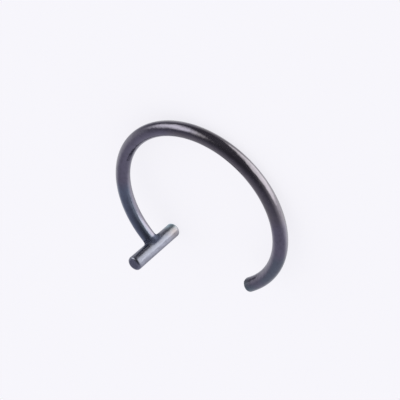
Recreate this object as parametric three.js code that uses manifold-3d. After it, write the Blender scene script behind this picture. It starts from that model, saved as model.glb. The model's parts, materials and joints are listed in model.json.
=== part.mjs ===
// A lip ring: an open hoop of round wire, with one end welded to the side of a short cross bar.
// The weld makes them one solid. The ring lies on its side on a table, as it rests by itself,
// on the lower rim of the bar and the far side of the hoop.
// Millimetres, +Z up. The origin is on the table, below the middle of the ring.

import * as THREE from "three";
import { ConvexHull } from "three/addons/math/ConvexHull.js";
import { mergeVertices } from "three/addons/utils/BufferGeometryUtils.js";
import Module from "manifold-3d";

const wasm = await Module();
wasm.setup();

// Driving dimensions, in millimetres and degrees
const WIRE_DIAMETER = 0.84; // 20 gauge with its coating
const INNER_DIAMETER = 9.56; // of the hoop
const SWEEP = 283.5; // of the wire round the hoop, from the bar's axis to the free end
const BAR_DIAMETER = 0.9;
const BAR_ABOVE = 2.09; // from the hoop's plane to the bar's upper end
const BAR_BELOW = 1.82;
const BAR_LEAN = 2.7; // of the bar's upper end towards the wire, from square to the hoop
const EDGE_ROUND = 0.11; // of the cut ends' rims
const WELD_FILLET = 0.1; // where the wire meets the bar

// Fineness of the facets
const SIDES = 24;
const BEND_STEP = 4; // degrees of the hoop to each facet
const ARC_DIVISIONS = 2;

const WIRE_RADIUS = WIRE_DIAMETER / 2;
const BAR_RADIUS = BAR_DIAMETER / 2;
const HOOP_RADIUS = (INNER_DIAMETER + WIRE_DIAMETER) / 2; // to the middle of the wire
const WIRE_LENGTH = HOOP_RADIUS * THREE.MathUtils.degToRad(SWEEP);

// In the hoop's own frame its centre is the origin, its plane is XY and its gap is centred on -Y.
const BAR_ANGLE = THREE.MathUtils.degToRad(90 + SWEEP / 2);

// The directions at an angle round the hoop: away from its centre, and along the wire from the bar.
const outwardAt = (angle) => new THREE.Vector3(Math.cos(angle), Math.sin(angle), 0);
const alongAt = (angle) => new THREE.Vector3(Math.sin(angle), -Math.cos(angle), 0);

// Half the outline of the wire before it is bent, from the bar's axis up to its free end.
function wireProfile() {
  const filletTop = BAR_RADIUS + WELD_FILLET;
  const roundStart = WIRE_LENGTH - EDGE_ROUND;
  const steps = Math.ceil(SWEEP / BEND_STEP);
  const profile = new THREE.Path()
    .moveTo(0, 0)
    .lineTo(WIRE_RADIUS + WELD_FILLET, 0)
    .lineTo(WIRE_RADIUS + WELD_FILLET, BAR_RADIUS)
    .absarc(WIRE_RADIUS + WELD_FILLET, filletTop, WELD_FILLET, -Math.PI / 2, -Math.PI, true);
  for (let step = 1; step < steps; step++) {
    profile.lineTo(WIRE_RADIUS, THREE.MathUtils.lerp(filletTop, roundStart, step / steps));
  }
  profile.absarc(WIRE_RADIUS - EDGE_ROUND, roundStart, EDGE_ROUND, 0, Math.PI / 2);
  return profile.lineTo(0, WIRE_LENGTH).getPoints(ARC_DIVISIONS);
}

function barProfile() {
  const side = BAR_RADIUS - EDGE_ROUND;
  return new THREE.Path()
    .moveTo(0, -BAR_BELOW)
    .lineTo(side, -BAR_BELOW)
    .absarc(side, EDGE_ROUND - BAR_BELOW, EDGE_ROUND, -Math.PI / 2, 0)
    .absarc(side, BAR_ABOVE - EDGE_ROUND, EDGE_ROUND, 0, Math.PI / 2)
    .lineTo(0, BAR_ABOVE)
    .getPoints(ARC_DIVISIONS);
}

// Bends a straight rod that stands on Y into the hoop. Its fillet is squeezed to the wire's own
// width across the bar, so that it shows only along the bar.
function bend(rod) {
  const position = rod.getAttribute("position");
  const point = new THREE.Vector3();
  for (let i = 0; i < position.count; i++) {
    point.fromBufferAttribute(position, i);
    const angle = BAR_ANGLE - point.y / HOOP_RADIUS;
    const squeeze = Math.min(1, WIRE_RADIUS / Math.hypot(point.x, point.z));
    const bent = outwardAt(angle).multiplyScalar(HOOP_RADIUS + point.x * squeeze);
    position.setXYZ(i, bent.x, bent.y, -point.z);
  }
  return rod;
}

function wire() {
  return bend(new THREE.LatheGeometry(wireProfile(), SIDES));
}

function crossBar() {
  const lean = THREE.MathUtils.degToRad(BAR_LEAN);
  const axis = new THREE.Vector3(0, 0, Math.cos(lean));
  axis.addScaledVector(alongAt(BAR_ANGLE), Math.sin(lean));
  const stand = new THREE.Quaternion().setFromUnitVectors(new THREE.Vector3(0, 1, 0), axis);
  const centre = outwardAt(BAR_ANGLE).multiplyScalar(HOOP_RADIUS);
  const bar = new THREE.LatheGeometry(barProfile(), SIDES).applyQuaternion(stand);
  return bar.translate(centre.x, centre.y, centre.z);
}

function toSolid(geometry) {
  const bare = geometry.clone();
  bare.deleteAttribute("normal");
  bare.deleteAttribute("uv");
  const merged = mergeVertices(bare);
  return new wasm.Manifold(
    new wasm.Mesh({
      numProp: 3,
      vertProperties: merged.getAttribute("position").array,
      triVerts: new Uint32Array(merged.index.array),
    }),
  );
}

function toGeometry(solid) {
  const { vertProperties, triVerts } = solid.getMesh();
  const geometry = new THREE.BufferGeometry();
  geometry.setAttribute("position", new THREE.BufferAttribute(vertProperties, 3));
  geometry.setIndex(new THREE.BufferAttribute(triVerts, 1));
  return geometry;
}

// The corners of a geometry, and its triangles as threes of them.
function cornersOf(geometry) {
  const position = geometry.getAttribute("position");
  const corners = Array.from({ length: position.count }, (_, i) =>
    new THREE.Vector3().fromBufferAttribute(position, i),
  );
  const index = Array.from(geometry.index.array);
  const triangles = index.flatMap((_, i) =>
    i % 3 ? [] : [[corners[index[i]], corners[index[i + 1]], corners[index[i + 2]]]],
  );
  return { corners, triangles };
}

// Each triangle and the origin make a tetrahedron, and their signed volumes weigh their middles.
function centreOfMass(triangles) {
  const sum = new THREE.Vector3();
  let volume = 0;
  for (const [a, b, c] of triangles) {
    const part = a.dot(b.clone().cross(c)) / 6;
    sum.addScaledVector(a.clone().add(b).add(c), part / 4);
    volume += part;
  }
  return sum.divideScalar(volume);
}

// Whether the centre of mass would stand over this face of the hull if the face lay on the table.
function isUnder(face, centre) {
  let edge = face.edge;
  do {
    const from = edge.tail().point;
    const to = edge.head().point;
    const inwards = face.normal.clone().cross(to.clone().sub(from));
    if (inwards.dot(centre.clone().sub(from)) < 0) return false;
    edge = edge.next;
  } while (edge !== face.edge);
  return true;
}

// The turn that lays a solid on the stable face of its hull that is nearest to its underside.
function layDown(geometry) {
  const down = new THREE.Vector3(0, 0, -1);
  const { corners, triangles } = cornersOf(geometry);
  const centre = centreOfMass(triangles);
  const faces = new ConvexHull().setFromPoints(corners).faces;
  const stable = faces.filter((face) => isUnder(face, centre));
  stable.sort((a, b) => b.normal.dot(down) - a.normal.dot(down));
  return new THREE.Quaternion().setFromUnitVectors(stable[0].normal, down);
}

const blackSteel = new THREE.MeshStandardMaterial({
  color: 0x2b2a30,
  roughness: 0.25,
  metalness: 1,
});

const lipRing = new THREE.Mesh(toGeometry(toSolid(wire()).add(toSolid(crossBar()))), blackSteel);
lipRing.name = "lip_ring";
lipRing.quaternion.copy(layDown(lipRing.geometry));

// The middle of the ring's box goes over the origin, and its lowest points on the table.
const box = new THREE.Box3().setFromObject(lipRing, true);
const middle = box.getCenter(new THREE.Vector3());
lipRing.position.set(-middle.x, -middle.y, -box.min.z);

const part = new THREE.Group();
part.add(lipRing);

export default part;
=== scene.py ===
"""A lip ring: an open hoop of round wire, with one end welded to the side of a short cross bar.

It is one piece of drawn steel wire under a glossy black coating, and it lies on its side on a pale
floor. It is modelled in millimetres, with its bar upright on the origin: the wire leaves the bar
along +X and the middle of the hoop lies towards -Y. Then it is turned, brought to metres and put
where the frame has it.
"""

import json
import math

import bmesh
import bpy
from mathutils import Matrix, Vector


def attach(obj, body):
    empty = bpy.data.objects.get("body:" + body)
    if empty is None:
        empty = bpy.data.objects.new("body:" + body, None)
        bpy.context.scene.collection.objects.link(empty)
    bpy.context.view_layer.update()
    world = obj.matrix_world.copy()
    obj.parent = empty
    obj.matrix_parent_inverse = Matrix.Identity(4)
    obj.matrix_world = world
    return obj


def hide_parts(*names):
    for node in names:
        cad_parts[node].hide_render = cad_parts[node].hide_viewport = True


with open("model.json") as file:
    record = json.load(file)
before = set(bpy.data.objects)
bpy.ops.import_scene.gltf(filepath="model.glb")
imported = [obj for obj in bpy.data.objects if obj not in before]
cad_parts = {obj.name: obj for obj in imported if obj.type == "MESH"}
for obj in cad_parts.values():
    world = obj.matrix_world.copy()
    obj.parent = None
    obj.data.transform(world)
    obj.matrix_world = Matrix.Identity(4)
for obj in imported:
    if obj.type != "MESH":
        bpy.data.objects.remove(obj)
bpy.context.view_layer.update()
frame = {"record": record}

MM = 0.001  # a millimetre, in the frame's metres

# Sizes of the ring, in millimetres
WIRE_RADIUS = 0.42
BAR_RADIUS = 0.45
BAR_BELOW = 1.82  # from the bar's lower end up to the middle of the wire
RIM_ROUND = 0.11  # of the cut ends
WELD_FILLET = 0.11  # above and below the wire
WELD_FILLET_BESIDE = 0.07  # beside it, where the wire is almost as wide as the bar

# The cage that is shaped in edit mode, before it is subdivided
SIDES = 24  # of the bar and of the wire
SIDE_ANGLE = 2 * math.pi / SIDES
WELD_COLUMNS = 5  # of the bar's sides that the wire grows out of, on each side of +X
BEND_ANGLE = math.radians(4.5)  # of the hoop, from one section of the wire to the next
RIM_SUPPORT = 0.05  # from a rim's rounding to the next ring of points
CAP_INSET = 0.04
SUBDIVISIONS = 2
SAME_PLACE = 0.0005  # points closer than this are on the same plane
# Subdividing shrinks a ring of points to this share of its radius.
SHRINKAGE = (4 + 2 * math.cos(SIDE_ANGLE)) / 6
CAGE_WIRE = WIRE_RADIUS / SHRINKAGE
CAGE_BAR = BAR_RADIUS / SHRINKAGE


def flat_end(name):
    """The middle of one of the ring's flat ends, in millimetres, and the way it faces."""
    found = next(m for m in frame["record"]["mounts"] if m["name"] == name)
    return Vector(found["pos_m"]) / MM, Vector(found["axis"])


# Where the frame has the bar and the hoop, in millimetres
BAR_TOP, BAR_AXIS = flat_end("bar_upper_end")
BAR_BOTTOM, _ = flat_end("bar_lower_end")
FREE_END, FREE_AXIS = flat_end("free_end")
JOIN = BAR_BOTTOM + BAR_AXIS * BAR_BELOW
BAR_ABOVE = (BAR_TOP - JOIN).length
HOOP_NORMAL = (JOIN - FREE_END).cross(FREE_AXIS).normalized()
INWARDS = FREE_AXIS.cross(HOOP_NORMAL)
HOOP_RADIUS = (JOIN - FREE_END).length_squared / (2 * INWARDS.dot(JOIN - FREE_END))
HOOP_CENTRE = FREE_END + INWARDS * HOOP_RADIUS
OUTWARDS = (JOIN - HOOP_CENTRE).normalized()
CLOSED_SIDE = (INWARDS - OUTWARDS).normalized()  # from the gap across the hoop
SWEEP = 2 * math.pi - OUTWARDS.angle(-INWARDS)
LEAN = BAR_AXIS.angle(HOOP_NORMAL)  # of the bar's upper end towards the wire
WIRE_LENGTH = HOOP_RADIUS * SWEEP

# The same in the frame in which the ring is modelled
MODEL_CENTRE = Vector((0, -HOOP_RADIUS, 0))
MODEL_NORMAL = Vector((-math.sin(LEAN), 0, math.cos(LEAN)))
MODEL_ALONG = Vector((math.cos(LEAN), 0, math.sin(LEAN)))  # the wire's direction at the bar


# ---------------------------------------------------------------- the ring


def in_wire(distance, out, up):
    """The point this far along the wire from the bar's axis, and this far from its middle."""
    angle = distance / HOOP_RADIUS
    spoke = Vector((0, math.cos(angle), 0)) + MODEL_ALONG * math.sin(angle)
    return MODEL_CENTRE + spoke * (HOOP_RADIUS + out) + MODEL_NORMAL * up


def pick(ring, kind, wanted):
    """Selects the points, edges or faces for which wanted is true, and nothing else."""
    bpy.ops.mesh.select_mode(type={"verts": "VERT", "edges": "EDGE", "faces": "FACE"}[kind])
    bpy.ops.mesh.select_all(action="DESELECT")
    mesh = bmesh.from_edit_mesh(ring.data)
    for element in getattr(mesh, kind):
        element.select_set(wanted(element))
    bmesh.update_edit_mesh(ring.data)


def mark(ring, mask, value):
    """Gives the selected points this value of a mask that the coating reads."""
    mesh = bmesh.from_edit_mesh(ring.data)
    layer = mesh.verts.layers.float[mask]
    for vert in mesh.verts:
        if vert.select:
            vert[layer] = value
    bmesh.update_edit_mesh(ring.data)


def cut_across(height):
    """Cuts a row of edges round the bar."""
    bpy.ops.mesh.select_all(action="SELECT")
    bpy.ops.mesh.bisect(plane_co=(0, 0, height), plane_no=(0, 0, 1), threshold=SAME_PLACE)


def bar_blank():
    """A plain round bar with a row of edges where the wire and its weld will be."""
    bpy.ops.object.select_all(action="DESELECT")
    bpy.ops.mesh.primitive_cylinder_add(
        vertices=SIDES,
        radius=CAGE_BAR,
        depth=BAR_ABOVE + BAR_BELOW,
        location=(0, 0, (BAR_ABOVE - BAR_BELOW) / 2),
    )
    ring = bpy.context.object
    ring.name = ring.data.name = "hoop_and_bar"
    bpy.ops.object.transform_apply(location=True)
    for mask in ("out", "up", "cut", "rim", "weld"):
        ring.data.attributes.new(mask, "FLOAT", "POINT")
    bpy.ops.object.mode_set(mode="EDIT")
    weld = WIRE_RADIUS + WELD_FILLET
    for height in (-2.2 * weld, -1.5 * weld, -weld, 0, weld, 1.5 * weld, 2.4 * weld):
        cut_across(height)
    return ring


def round_bar_end(ring, height):
    """Rounds the rim of a cut end of the bar, and fills the end with a grid of faces."""

    def at_end(element):
        return all(abs(vert.co.z - height) < SAME_PLACE for vert in element.verts)

    pick(ring, "edges", at_end)
    bpy.ops.mesh.bevel(offset=RIM_ROUND, segments=2, profile=0.5, affect="EDGES")
    mark(ring, "rim", 1)
    cut_across(height - math.copysign(RIM_ROUND + RIM_SUPPORT, height))
    pick(ring, "faces", at_end)
    bpy.ops.mesh.inset(thickness=CAP_INSET)
    bpy.ops.mesh.delete(type="ONLY_FACE")
    pick(ring, "edges", lambda edge: edge.is_boundary)
    mark(ring, "cut", 1)
    bpy.ops.mesh.fill_grid(span=SIDES // 4)
    mark(ring, "cut", 1)


def lay_out_weld(ring):
    """Notes, for each point of the bar under the wire, its place in the wire's round section."""
    mesh = bmesh.from_edit_mesh(ring.data)
    out, up = mesh.verts.layers.float["out"], mesh.verts.layers.float["up"]
    for vert in mesh.verts:
        column = round(math.atan2(vert.co.y, vert.co.x) / SIDE_ANGLE)
        row = round(vert.co.z / WIRE_RADIUS)
        if abs(column) > WELD_COLUMNS or abs(row) > 1:
            continue
        beside = abs(column) == WELD_COLUMNS and row == 0
        vert[out] = math.copysign(1, column) if beside else math.sin(SIDE_ANGLE * column)
        vert[up] = row * math.cos(SIDE_ANGLE * column)
    bmesh.update_edit_mesh(ring.data)


def under_wire(face):
    middle = face.calc_center_median()
    turn = math.atan2(middle.y, middle.x)
    return (
        abs(turn) < SIDE_ANGLE * WELD_COLUMNS
        and abs(middle.z) < WIRE_RADIUS
        and math.hypot(middle.x, middle.y) > WIRE_RADIUS
    )


def shape_section(ring, place):
    """Moves each selected point to its place in the wire's section."""
    mesh = bmesh.from_edit_mesh(ring.data)
    out, up = mesh.verts.layers.float["out"], mesh.verts.layers.float["up"]
    for vert in mesh.verts:
        if vert.select:
            vert.co = place(vert[out], vert[up])
    bmesh.update_edit_mesh(ring.data)


def weld_foot(out, up):
    """Where the weld ends on the bar's side."""
    turn = math.asin(out * WIRE_RADIUS / BAR_RADIUS) + out * WELD_FILLET_BESIDE / BAR_RADIUS
    side = Vector((math.cos(turn), math.sin(turn), 0)) * CAGE_BAR
    return side + Vector((0, 0, up * (WIRE_RADIUS + WELD_FILLET)))


def weld_top(out, up):
    """Where the weld ends on the wire, just off the bar's side."""
    reach = math.sqrt(BAR_RADIUS**2 - (out * WIRE_RADIUS) ** 2)
    meeting = (reach + up * WIRE_RADIUS * math.sin(LEAN)) / math.cos(LEAN)
    return in_wire(meeting + WELD_FILLET, out * CAGE_WIRE, up * CAGE_WIRE)


def wire_section(distance):
    """The places of a flat round section of the wire."""
    return lambda out, up: in_wire(distance, out * CAGE_WIRE, up * CAGE_WIRE)


def grow_wire(ring):
    """Draws the wire out of the bar's side and spins it round the hoop."""
    lay_out_weld(ring)
    pick(ring, "faces", under_wire)
    shape_section(ring, weld_foot)
    mark(ring, "weld", 0.5)
    bpy.ops.mesh.extrude_region_move()
    shape_section(ring, weld_top)
    mark(ring, "weld", 1)
    bpy.ops.mesh.extrude_region_move()
    start = BAR_RADIUS + 2.2 * WELD_FILLET
    shape_section(ring, wire_section(start))
    mark(ring, "weld", 0)
    stop = WIRE_LENGTH - RIM_ROUND - RIM_SUPPORT
    bend = (stop - start) / HOOP_RADIUS
    bpy.ops.mesh.spin(
        steps=round(bend / BEND_ANGLE), angle=bend, center=MODEL_CENTRE, axis=MODEL_NORMAL
    )
    bpy.ops.mesh.extrude_region_move()
    shape_section(ring, wire_section(WIRE_LENGTH))


def round_free_end(ring):
    """Rounds the rim of the wire's cut end, which is still selected."""
    bpy.ops.mesh.region_to_loop()
    bpy.ops.mesh.bevel(offset=RIM_ROUND, segments=2, profile=0.5, affect="EDGES")
    mark(ring, "rim", 1)
    middle = in_wire(WIRE_LENGTH, 0, 0)
    facing = (middle - MODEL_CENTRE).cross(MODEL_NORMAL).normalized()

    def in_cap(face):
        return all(
            (vert.co - middle).length < WIRE_RADIUS
            and abs((vert.co - middle).dot(facing)) < SAME_PLACE
            for vert in face.verts
        )

    pick(ring, "faces", in_cap)
    bpy.ops.mesh.inset(thickness=CAP_INSET)
    mark(ring, "cut", 1)


def subdivide(ring):
    bpy.ops.mesh.select_all(action="SELECT")
    bpy.ops.mesh.normals_make_consistent(inside=False)
    bpy.ops.object.mode_set(mode="OBJECT")
    fine = ring.modifiers.new("fine", "SUBSURF")
    fine.levels = fine.render_levels = SUBDIVISIONS
    bpy.ops.object.modifier_apply(modifier=fine.name)
    bpy.ops.object.shade_smooth()


def lay_grain(ring):
    """Gives each face corner its place on the straight drawn rod that the face was bent from."""
    grain = ring.data.attributes.new("grain", "FLOAT_VECTOR", "CORNER")
    for face in ring.data.polygons:
        on_bar = math.hypot(face.center.x, face.center.y) < BAR_RADIUS + WELD_FILLET / 2
        for corner in face.loop_indices:
            place = ring.data.vertices[ring.data.loops[corner].vertex_index].co
            grain.data[corner].vector = bar_grain(place) if on_bar else wire_grain(place)


def bar_grain(place):
    return Vector((place.z - 2 * (BAR_ABOVE + BAR_BELOW), place.x, place.y))


def wire_grain(place):
    spoke = place - MODEL_CENTRE
    up = spoke.dot(MODEL_NORMAL)
    spoke -= MODEL_NORMAL * up
    angle = math.atan2(spoke.dot(MODEL_ALONG), spoke.y) % (2 * math.pi)
    return Vector((angle * HOOP_RADIUS, spoke.length - HOOP_RADIUS, up))


def put_in_place(ring):
    """Turns the ring to lie as the frame has it, and brings it to metres."""
    leaving = OUTWARDS.cross(BAR_AXIS)
    turned = Matrix((leaving, OUTWARDS, BAR_AXIS)).transposed().to_4x4()
    ring.matrix_world = Matrix.Scale(MM, 4) @ Matrix.Translation(JOIN) @ turned
    bpy.ops.object.transform_apply(location=True, rotation=True, scale=True)


def hoop_and_bar():
    ring = bar_blank()
    round_bar_end(ring, BAR_ABOVE)
    round_bar_end(ring, -BAR_BELOW)
    grow_wire(ring)
    round_free_end(ring)
    subdivide(ring)
    lay_grain(ring)
    put_in_place(ring)
    return ring


ring = hoop_and_bar()
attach(ring, "root")
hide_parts("lip_ring")


# ---------------------------------------------------------------- the black coating

PURPLE_GREY = (0.108, 0.099, 0.144, 1)
BROWN_GREY = (0.112, 0.101, 0.134, 1)
NEUTRAL_GREY = (0.112, 0.102, 0.121, 1)
DEEP_TEAL = (0.100, 0.115, 0.172, 1)
DULL_TEAL = (0.085, 0.096, 0.132, 1)
TIP_TEAL = (0.088, 0.125, 0.152, 1)
BAR_GREY = (0.144, 0.145, 0.205, 1)
# Darker steel for the bar's streaks, and painted shade for its stripe, which dims the bar's
# highlight
BAR_STREAKS_AND_SHADE = (0.094, 0.095, 0.136, 1)
CUT_GREY = (0.074, 0.074, 0.120, 1)
FLECK_GREY = (0.062, 0.057, 0.078, 1)
# Painted shade: the weld between wire and bar is darkened, as the dark reflection in that joint
WELD_SHADE = (0.060, 0.065, 0.114, 1)
# A teal tint, brightened into a painted highlight near the bar's lower end
TEAL_AND_HIGHLIGHT = (0.250, 0.350, 0.460, 1)
BRONZE = (0.118, 0.105, 0.130, 1)

# Where the coating's tint changes along the wire, in degrees round the hoop from the bar, and on
# which side of the wire, as its grain has it
OUTER_SIDE = (0, 1, 0.4)
UPPER_SIDE = (0, 0, 1)
INNER_SIDE = (0, -1, 0.4)
BROWN_STRETCH = (150, 215)
TINTED_STRETCHES = (
    (-10, 44, UPPER_SIDE, DEEP_TEAL),
    (135, 208, INNER_SIDE, NEUTRAL_GREY),
    (250, 267, OUTER_SIDE, DULL_TEAL),
    (282, 300, OUTER_SIDE, DULL_TEAL),
)
STRETCH_FADE = 10
STRETCH_DRIFT = 12  # how far a stretch's edge wanders, either way

# Millimetres from the bar's axis at which the coating is the wire's, and at which it is the bar's
WIRE_COAT_FROM = 0.62
BAR_COAT_WITHIN = 0.46

# How far round its middle each spot of colour or dullness reaches, in millimetres; the teal one is
# partly a painted highlight
TIP_REACH = 0.85
DULL_TIP_REACH = 1.2
TEAL_AND_HIGHLIGHT_REACH = 0.7
BRONZE_REACH = 0.8

# The stripe of painted shade down the bar, which dims the bar's highlight, in millimetres from its
# middle to where it fades out and is full
SHADE_STRIPE_EDGE = 0.28
SHADE_STRIPE_CORE = 0.10
WAVE_HEIGHT = 0.02 * MM  # of the coating's waves and drawn lines
WAVE_STRENGTH = 0.75


class Shader:
    """A material's or a world's nodes, and short ways of adding to them."""

    def __init__(self, owner):
        owner.use_nodes = True
        self.nodes = owner.node_tree.nodes
        self.link = owner.node_tree.links.new

    def add(self, kind, **settings):
        node = self.nodes.new("ShaderNode" + kind)
        for name, value in settings.items():
            setattr(node, name, value)
        return node

    def feed(self, socket, value):
        """Sets a socket, or links it to another one."""
        if isinstance(value, bpy.types.NodeSocket):
            self.link(value, socket)
        else:
            socket.default_value = value

    def attribute(self, name, output):
        return self.add("Attribute", attribute_name=name).outputs[output]

    def math(self, operation, *values):
        node = self.add("Math", operation=operation)
        for socket, value in zip(node.inputs, values):
            self.feed(socket, value)
        return node.outputs["Value"]

    def vector(self, operation, output, *values):
        node = self.add("VectorMath", operation=operation)
        for socket, value in zip(node.inputs, values):
            self.feed(socket, value)
        return node.outputs[output]

    def dot(self, place, direction):
        return self.vector("DOT_PRODUCT", "Value", place, direction)

    def distance(self, place, point):
        return self.vector("DISTANCE", "Value", place, point)

    def distance_from_line(self, place, point, direction):
        reach = self.vector("SUBTRACT", "Vector", place, point)
        across = self.vector("CROSS_PRODUCT", "Vector", reach, direction)
        return self.vector("LENGTH", "Value", across)

    def ease(self, value, start, stop, first=0.0, last=1.0):
        """Goes smoothly from first, where value is start, to last, where it is stop."""
        node = self.add("MapRange", interpolation_type="SMOOTHSTEP")
        for socket, given in zip(node.inputs, (value, start, stop, first, last)):
            self.feed(socket, given)
        return node.outputs["Result"]

    def stretch(self, place, scale):
        node = self.add("Mapping")
        self.feed(node.inputs["Vector"], place)
        node.inputs["Scale"].default_value = scale
        return node.outputs["Vector"]

    def noise(self, place, scale, detail=2.0):
        node = self.add("TexNoise")
        self.feed(node.inputs["Vector"], place)
        node.inputs["Scale"].default_value = scale
        node.inputs["Detail"].default_value = detail
        return node.outputs["Fac"]

    def band(self, value, start, stop, fade):
        """1 from start to stop, and 0 this far outside them."""
        rise = self.ease(value, start - fade, start)
        return self.math("MULTIPLY", rise, self.ease(value, stop + fade, stop))

    def blend(self, share, first, second):
        """A colour between two others."""
        node = self.add("Mix", data_type="RGBA")
        self.feed(node.inputs["Factor"], share)
        colours = [socket for socket in node.inputs if socket.type == "RGBA"]
        self.feed(colours[0], first)
        self.feed(colours[1], second)
        return next(socket for socket in node.outputs if socket.type == "RGBA")


def near(shader, place, point, reach):
    """1 at a point of the ring, and 0 from this many millimetres away."""
    return shader.ease(shader.distance(place, point * MM), reach * MM, 0.0)


def wire_colour(shader, place, grain):
    """Purple-grey, browner on the closed side, and teal or neutral in places on one side."""
    drift = shader.math("MULTIPLY_ADD", shader.noise(place, 300), 2 * STRETCH_DRIFT, -STRETCH_DRIFT)
    turn = shader.math("ADD", shader.dot(grain, (math.degrees(1 / HOOP_RADIUS), 0, 0)), drift)
    brown = shader.band(turn, *BROWN_STRETCH, STRETCH_FADE)
    colour = shader.blend(brown, PURPLE_GREY, BROWN_GREY)
    for start, stop, side, tint in TINTED_STRETCHES:
        on_side = shader.ease(shader.dot(grain, side), -0.05, 0.2)
        share = shader.math("MULTIPLY", on_side, shader.band(turn, start, stop, STRETCH_FADE))
        colour = shader.blend(share, colour, tint)
    return shader.blend(near(shader, place, FREE_END, TIP_REACH), colour, TIP_TEAL)


def bar_colour(shader, place, grain):
    """Grey, with streaks and a darker stripe of painted shade away from the wire, which dims the
    bar's highlight, and tints at the lower end, the teal one partly a painted highlight.
    """
    streaks = shader.noise(shader.stretch(grain, (1.2, 4.5, 4.5)), 1.0, detail=3)
    off_wire = shader.ease(shader.dot(grain, (0, 1, 0)), 0.05, -0.15, 0.0, 0.65)
    streaky = shader.math("MULTIPLY", off_wire, shader.ease(streaks, 0.46, 0.66))
    to_wire = OUTWARDS.cross(BAR_AXIS)
    # A stripe of painted shade down the bar, which dims its highlight
    shade_stripe_side = JOIN - OUTWARDS * BAR_RADIUS
    from_shade_stripe = shader.distance_from_line(place, shade_stripe_side * MM, BAR_AXIS)
    stripe = shader.ease(from_shade_stripe, SHADE_STRIPE_EDGE * MM, SHADE_STRIPE_CORE * MM)
    darker = shader.math("MAXIMUM", stripe, streaky)
    colour = shader.blend(darker, BAR_GREY, BAR_STREAKS_AND_SHADE)
    # The teal spot is partly a painted highlight near the bar's lower end
    teal_and_highlight_spot = BAR_BOTTOM + BAR_AXIS * 0.25 + to_wire * 0.35 - OUTWARDS * 0.25
    bronze_spot = BAR_BOTTOM + BAR_AXIS * 0.4 - to_wire * 0.1 - OUTWARDS * BAR_RADIUS
    colour = shader.blend(near(shader, place, teal_and_highlight_spot, TEAL_AND_HIGHLIGHT_REACH), colour, TEAL_AND_HIGHLIGHT)
    return shader.blend(near(shader, place, bronze_spot, BRONZE_REACH), colour, BRONZE)


def coating_colour(shader, place, grain, on_bar):
    """The wire's tints and the bar's, with dull flecks, dark cut ends, and painted shade on the
    weld.
    """
    bar = bar_colour(shader, place, grain)
    colour = shader.blend(on_bar, wire_colour(shader, place, grain), bar)
    flecks = shader.noise(shader.stretch(grain, (4, 7, 7)), 1.0, detail=2)
    colour = shader.blend(shader.ease(flecks, 0.48, 0.68, 0.0, 0.25), colour, FLECK_GREY)
    cut = shader.ease(shader.attribute("cut", "Fac"), 0.3, 0.9)
    colour = shader.blend(cut, colour, CUT_GREY)
    # Painted shade darkens the weld, in the joint between wire and bar
    return shader.blend(in_weld(shader), colour, WELD_SHADE)


def in_weld(shader):
    """1 on the weld, which is darkened with painted shade, and 0 off it."""
    return shader.ease(shader.attribute("weld", "Fac"), 0.1, 0.6)


def coating_roughness(shader, place, lines, on_bar):
    """Drawn lines in the gloss, which is duller on the bar, the cut ends and above all the weld."""
    rough = shader.ease(lines, 0.3, 0.7, 0.12, 0.21)
    rough = shader.math("MULTIPLY_ADD", on_bar, 0.05, rough)
    rough = shader.math("MULTIPLY_ADD", shader.attribute("rim", "Fac"), 0.1, rough)
    rough = shader.math("MULTIPLY_ADD", near(shader, place, FREE_END, DULL_TIP_REACH), 0.2, rough)
    return shader.math("MULTIPLY_ADD", in_weld(shader), 0.55, rough)


def black_coating():
    material = bpy.data.materials.new("black_coated_steel")
    shader = Shader(material)
    surface = shader.nodes["Principled BSDF"]
    surface.inputs["Metallic"].default_value = 1
    place = shader.add("TexCoord").outputs["Object"]
    grain = shader.attribute("grain", "Vector")
    from_bar = shader.distance_from_line(place, JOIN * MM, BAR_AXIS)
    on_bar = shader.ease(from_bar, WIRE_COAT_FROM * MM, BAR_COAT_WITHIN * MM)
    shader.link(coating_colour(shader, place, grain, on_bar), surface.inputs["Base Color"])

    lines = shader.noise(shader.stretch(grain, (0.5, 7, 7)), 1.0, detail=3)
    shader.link(coating_roughness(shader, place, lines, on_bar), surface.inputs["Roughness"])

    waves = shader.noise(shader.stretch(grain, (2.4, 2.8, 2.8)), 1.0, detail=2)
    height = shader.math("MULTIPLY_ADD", lines, 0.15, waves)
    bump = shader.add("Bump")
    shader.link(height, bump.inputs["Height"])
    bump.inputs["Distance"].default_value = WAVE_HEIGHT
    bump.inputs["Strength"].default_value = WAVE_STRENGTH
    shader.link(bump.outputs["Normal"], surface.inputs["Normal"])
    return material


ring.data.materials.append(black_coating())


# ---------------------------------------------------------------- floor, light and camera

FLOOR_RADIUS = 0.4
PALE = (0.95, 0.94, 0.99, 1)
FLOOR_PAINTED_GLOW = 0.85  # the share of the floor's brightness that is painted glow, which lightens the ring's shadows on it
HOOP_SIDE = CLOSED_SIDE.cross(HOOP_NORMAL)
MIRRORED_ONLY = "Is Glossy Ray"
ROOM_LIGHT = 0.98  # from all round, on all that isn't mirrored

# The pale table that the ring mirrors as if it stood on its gap, how far its edge fades either
# way, and the dark room above it
TABLE = (0.9, 0.9, 0.95, 1)
TABLE_NORMAL = (0, 1, 0.3)
TABLE_FADE = 0.8
ROOM = (0.13, 0.13, 0.14, 1)
CEILING = (0.25, 0.25, 0.25, 1)

# The lights and walls that stand round it: degrees round the hoop from its winding axis and up to
# its closed side, half the width and height and the fade of the edges for a distance of one, and
# brightness
LIGHT_TINT = (1, 1.03, 0.84)
CARDS = {
    "left_box": (-60, 35, 0.45, 0.35, 0.3, 4.5),
    "right_box": (130, 32, 0.7, 0.5, 0.2, 4),
    "right_glow": (135, -5, 0.5, 0.6, 0.8, 2.7),
    "left_glow": (-80, -20, 0.4, 0.4, 0.3, 0.6),
    "wall": (90, 10, 0.4, 0.6, 0.5, 0.8),
    "far_wall": (-160, 15, 0.8, 0.5, 0.4, 0.7),
}

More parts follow.
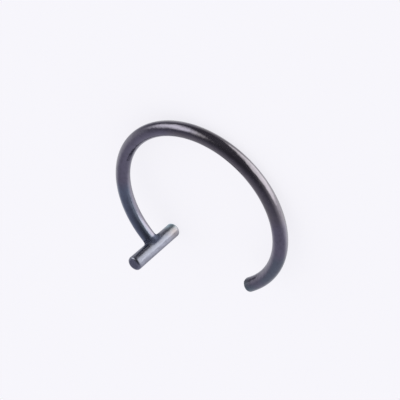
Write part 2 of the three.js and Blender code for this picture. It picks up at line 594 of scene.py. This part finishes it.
# The camera, in millimetres from the hoop's centre as in_hoop has them, and its roll in degrees
CAMERA_PLACE = (23.18, 33.34, 32.75)
CAMERA_AIM = (-0.11, 0.44, -0.36)
CAMERA_ROLL = -2.54


def in_hoop(x, y, z):
    """A direction given by the hoop: y to its closed side, z along its winding axis."""
    return HOOP_SIDE * x + CLOSED_SIDE * y + HOOP_NORMAL * z


def lay_floor():
    bpy.ops.object.select_all(action="DESELECT")
    bpy.ops.mesh.primitive_circle_add(vertices=96, radius=FLOOR_RADIUS, fill_type="NGON")
    floor = bpy.context.object
    floor.name = "floor"
    material = bpy.data.materials.new("floor")
    surface = Shader(material).nodes["Principled BSDF"]
    surface.inputs["Base Color"].default_value = [part * (1 - FLOOR_PAINTED_GLOW) for part in PALE[:3]] + [1]
    # Painted glow: the floor gives off light of its own, which lightens the ring's shadows on it
    surface.inputs["Emission Color"].default_value = PALE
    surface.inputs["Emission Strength"].default_value = FLOOR_PAINTED_GLOW * ROOM_LIGHT
    surface.inputs["Roughness"].default_value = 0.9
    surface.inputs["Specular IOR Level"].default_value = 0
    floor.data.materials.append(material)
    floor.visible_glossy = False


def soft_card(shader, place, card):
    """The light of one card, seen in this direction."""
    round_hoop, rise, half_width, half_height, fade, brightness = card
    round_hoop, rise = math.radians(round_hoop), math.radians(rise)
    level = math.cos(rise)
    middle = in_hoop(math.sin(round_hoop) * level, math.sin(rise), math.cos(round_hoop) * level)
    east = CLOSED_SIDE.cross(middle).normalized()
    north = middle.cross(east)
    ahead = shader.dot(place, middle)
    share = shader.ease(ahead, 0.05, 0.2)
    for way, half in ((east, half_width), (north, half_height)):
        off = shader.math("ABSOLUTE", shader.math("DIVIDE", shader.dot(place, way), ahead))
        inside = shader.ease(off, half + fade, half - fade)
        share = shader.math("MULTIPLY", share, inside)
    scaled = shader.add("VectorMath", operation="SCALE")
    scaled.inputs[0].default_value = [part * brightness for part in LIGHT_TINT]
    shader.link(share, scaled.inputs["Scale"])
    return scaled.outputs["Vector"]


def light_room():
    world = bpy.data.worlds.new("room")
    bpy.context.scene.world = world
    world.cycles.sampling_method = "NONE"
    shader = Shader(world)
    place = shader.add("TexCoord").outputs["Generated"]
    up = shader.math("MAXIMUM", shader.dot(place, CLOSED_SIDE), 0.0)
    seen = shader.blend(shader.math("POWER", up, 2.0), ROOM, CEILING)
    normal = in_hoop(*TABLE_NORMAL).normalized()
    height = shader.dot(place, normal)
    table = shader.ease(height, TABLE_FADE, -TABLE_FADE)
    seen = shader.blend(table, seen, TABLE)
    for card in CARDS.values():
        seen = shader.vector("ADD", "Vector", seen, soft_card(shader, place, card))
    mirrored = shader.add("LightPath").outputs[MIRRORED_ONLY]
    light = shader.blend(mirrored, (ROOM_LIGHT, ROOM_LIGHT, ROOM_LIGHT, 1), seen)
    shader.link(light, shader.nodes["Background"].inputs["Color"])


def place_camera():
    """Stands the camera over the ring, with the hoop's closed side up."""
    data = bpy.data.cameras.new("camera")
    camera = bpy.data.objects.new("camera", data)
    bpy.context.collection.objects.link(camera)
    bpy.context.scene.camera = camera
    data.lens = 85
    data.clip_start = 0.003
    place = HOOP_CENTRE + in_hoop(*CAMERA_PLACE)
    ahead = (HOOP_CENTRE + in_hoop(*CAMERA_AIM) - place).normalized()
    right = ahead.cross(CLOSED_SIDE).normalized()
    level = Matrix((right, right.cross(ahead), -ahead)).transposed().to_4x4()
    roll = Matrix.Rotation(math.radians(CAMERA_ROLL), 4, "Z")
    camera.matrix_world = Matrix.Translation(place * MM) @ level @ roll


bpy.context.scene.view_settings.view_transform = "Standard"
lay_floor()
light_room()
place_camera()
